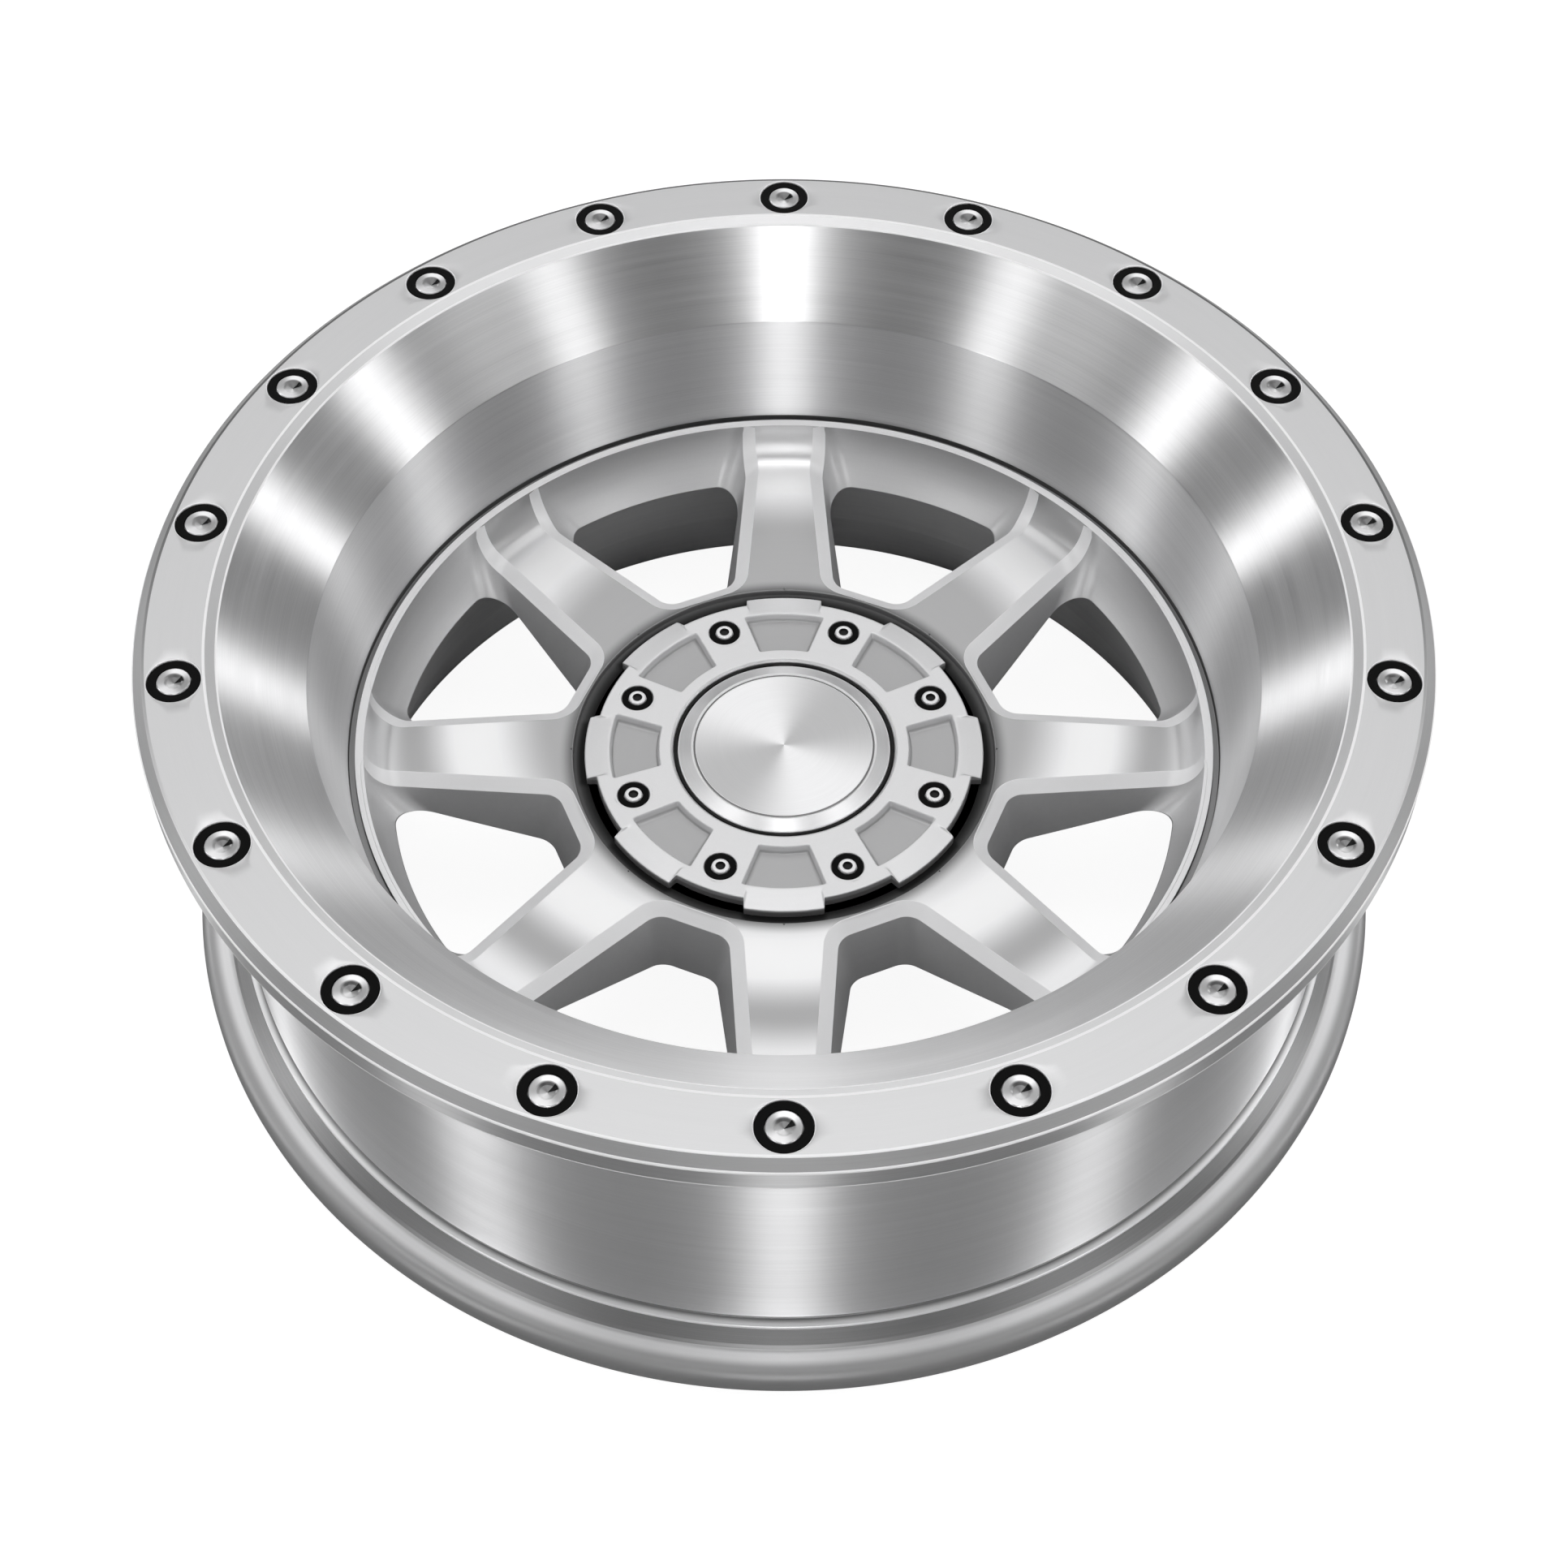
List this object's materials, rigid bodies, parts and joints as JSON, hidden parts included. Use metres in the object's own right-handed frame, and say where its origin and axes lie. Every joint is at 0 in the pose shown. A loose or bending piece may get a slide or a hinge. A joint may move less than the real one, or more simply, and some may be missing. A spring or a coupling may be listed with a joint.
{
  "type": "forged wheel",
  "caption": "Deep-dish forged truck wheel with straight bevelled spokes, a bolted-look outer ring and a lobed hub cap screwed over the lug holes.",
  "frame": {"origin": "centre of the hub bore on the face that meets the hub", "axes": "+Z along the wheel axis towards the outboard face, which is up as the wheel lies on its rear flange; one spoke points along +X and one along +Y"},
  "size_m": [0.6489, 0.649, 0.225],
  "materials": {
    "forged_aluminium": "turned and brushed, clear",
    "cap_aluminium": "fine blasted satin",
    "disc_aluminium": "spun",
    "bolt_steel": "turned bright",
    "screw_steel": "bright",
    "black_collar": "gloss black",
    "black_seal": "black"
  },
  "bodies": {
    "root": {"forged_wheel": "forged_aluminium", "hub_cap": "cap_aluminium", "centre_disc": "disc_aluminium", "disc_seal_ring": "black_seal", "lip_bolts": "bolt_steel", "lip_bolt_collars": "black_collar", "cap_screws": "screw_steel", "cap_screw_collars": "black_collar"}
  },
  "joints": []
}
